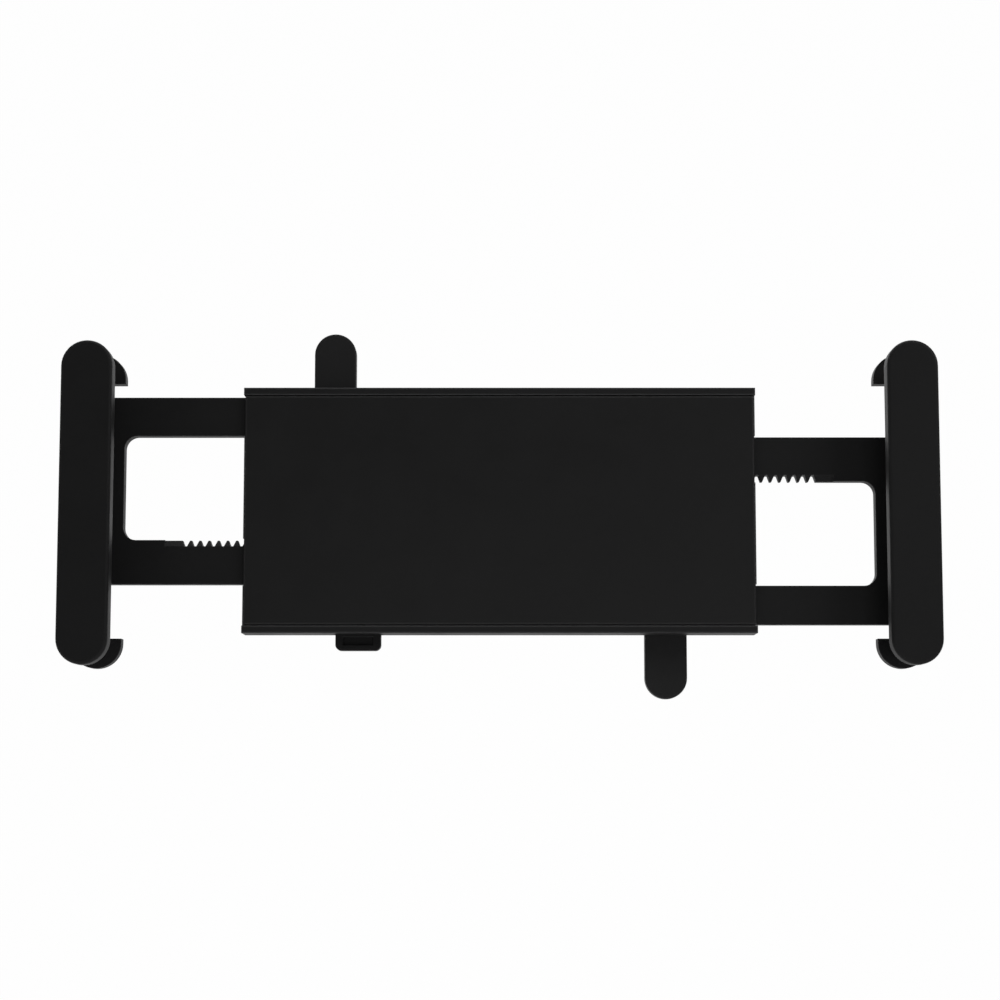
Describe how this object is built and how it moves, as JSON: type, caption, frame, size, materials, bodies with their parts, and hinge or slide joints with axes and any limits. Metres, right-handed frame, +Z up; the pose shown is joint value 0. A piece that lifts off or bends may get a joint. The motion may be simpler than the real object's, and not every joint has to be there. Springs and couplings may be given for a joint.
{
  "type": "tablet holder",
  "caption": "Expanding tablet holder for a car headrest: flat body, geared sliders with channel jaws, release button and sprung post hooks behind.",
  "frame": {"origin": "on the gear axis, in the plane of the front plate's face", "axes": "+Z up, +X to the right of someone facing the tablet, -Y towards them"},
  "size_m": [0.2324, 0.0485, 0.102],
  "materials": {
    "housing_plastic": "fine moulded texture",
    "plate_plastic": "fine matte texture",
    "slider_plastic": "fine moulded texture",
    "gear_plastic": "plain moulded",
    "rubber": "matte",
    "steel": "bright zinc",
    "screw_steel": "black oxide"
  },
  "bodies": {
    "body": {"housing": "housing_plastic", "front_plate": "plate_plastic", "rear_cover": "housing_plastic", "cover_screws": "screw_steel", "gear_axle": "steel"},
    "left_jaw": {"left_slider": "slider_plastic", "left_jaw_pad": "rubber"},
    "right_jaw": {"right_slider": "slider_plastic", "right_jaw_pad": "rubber"},
    "slider_gear": {"slider_pinion": "gear_plastic"},
    "latch": {"latch_plate": "steel", "release_button": "slider_plastic", "latch_spring": "steel"},
    "left_clamp": {"left_clamp_arm": "housing_plastic", "left_clamp_pad": "rubber", "left_clamp_spring": "steel"},
    "right_clamp": {"right_clamp_arm": "housing_plastic", "right_clamp_pad": "rubber", "right_clamp_spring": "steel"},
    "clamp_gear": {"clamp_pinion": "gear_plastic"}
  },
  "joints": [
    {"name": "left_slide", "type": "slide", "parent": "body", "child": "left_jaw", "axis": [-1, 0, 0], "range_m": [-0.03, 0.029]},
    {"name": "right_slide", "type": "slide", "parent": "body", "child": "right_jaw", "axis": [1, 0, 0], "range_m": [-0.03, 0.029]},
    {"name": "slider_gear_spin", "type": "hinge", "parent": "body", "child": "slider_gear", "pos_m": [0, 0.004, 0], "axis": [0, 1, 0], "range_deg": [-205, 190]},
    {"name": "release_press", "type": "slide", "parent": "body", "child": "latch", "axis": [0, 0, 1], "range_m": [0, 0.0025], "stiffness_N_per_m": 400, "springref_m": -0.004, "deforming": ["latch_spring"]},
    {"name": "left_clamp_slide", "type": "slide", "parent": "body", "child": "left_clamp", "axis": [-1, 0, 0], "range_m": [0, 0.045], "stiffness_N_per_m": 60, "springref_m": -0.02, "deforming": ["left_clamp_spring"]},
    {"name": "right_clamp_slide", "type": "slide", "parent": "body", "child": "right_clamp", "axis": [1, 0, 0], "range_m": [0, 0.045], "deforming": ["right_clamp_spring"]},
    {"name": "clamp_gear_spin", "type": "hinge", "parent": "body", "child": "clamp_gear", "pos_m": [0, 0.0116, 0], "axis": [0, -1, 0], "range_deg": [-5, 298]}
  ],
  "couplings": [
    {"joint": "right_slide", "follows": "left_slide", "ratio": 1},
    {"joint": "slider_gear_spin", "follows": "left_slide", "rad_per_m": 113.64},
    {"joint": "right_clamp_slide", "follows": "left_clamp_slide", "ratio": 1},
    {"joint": "clamp_gear_spin", "follows": "left_clamp_slide", "rad_per_m": 113.64}
  ]
}
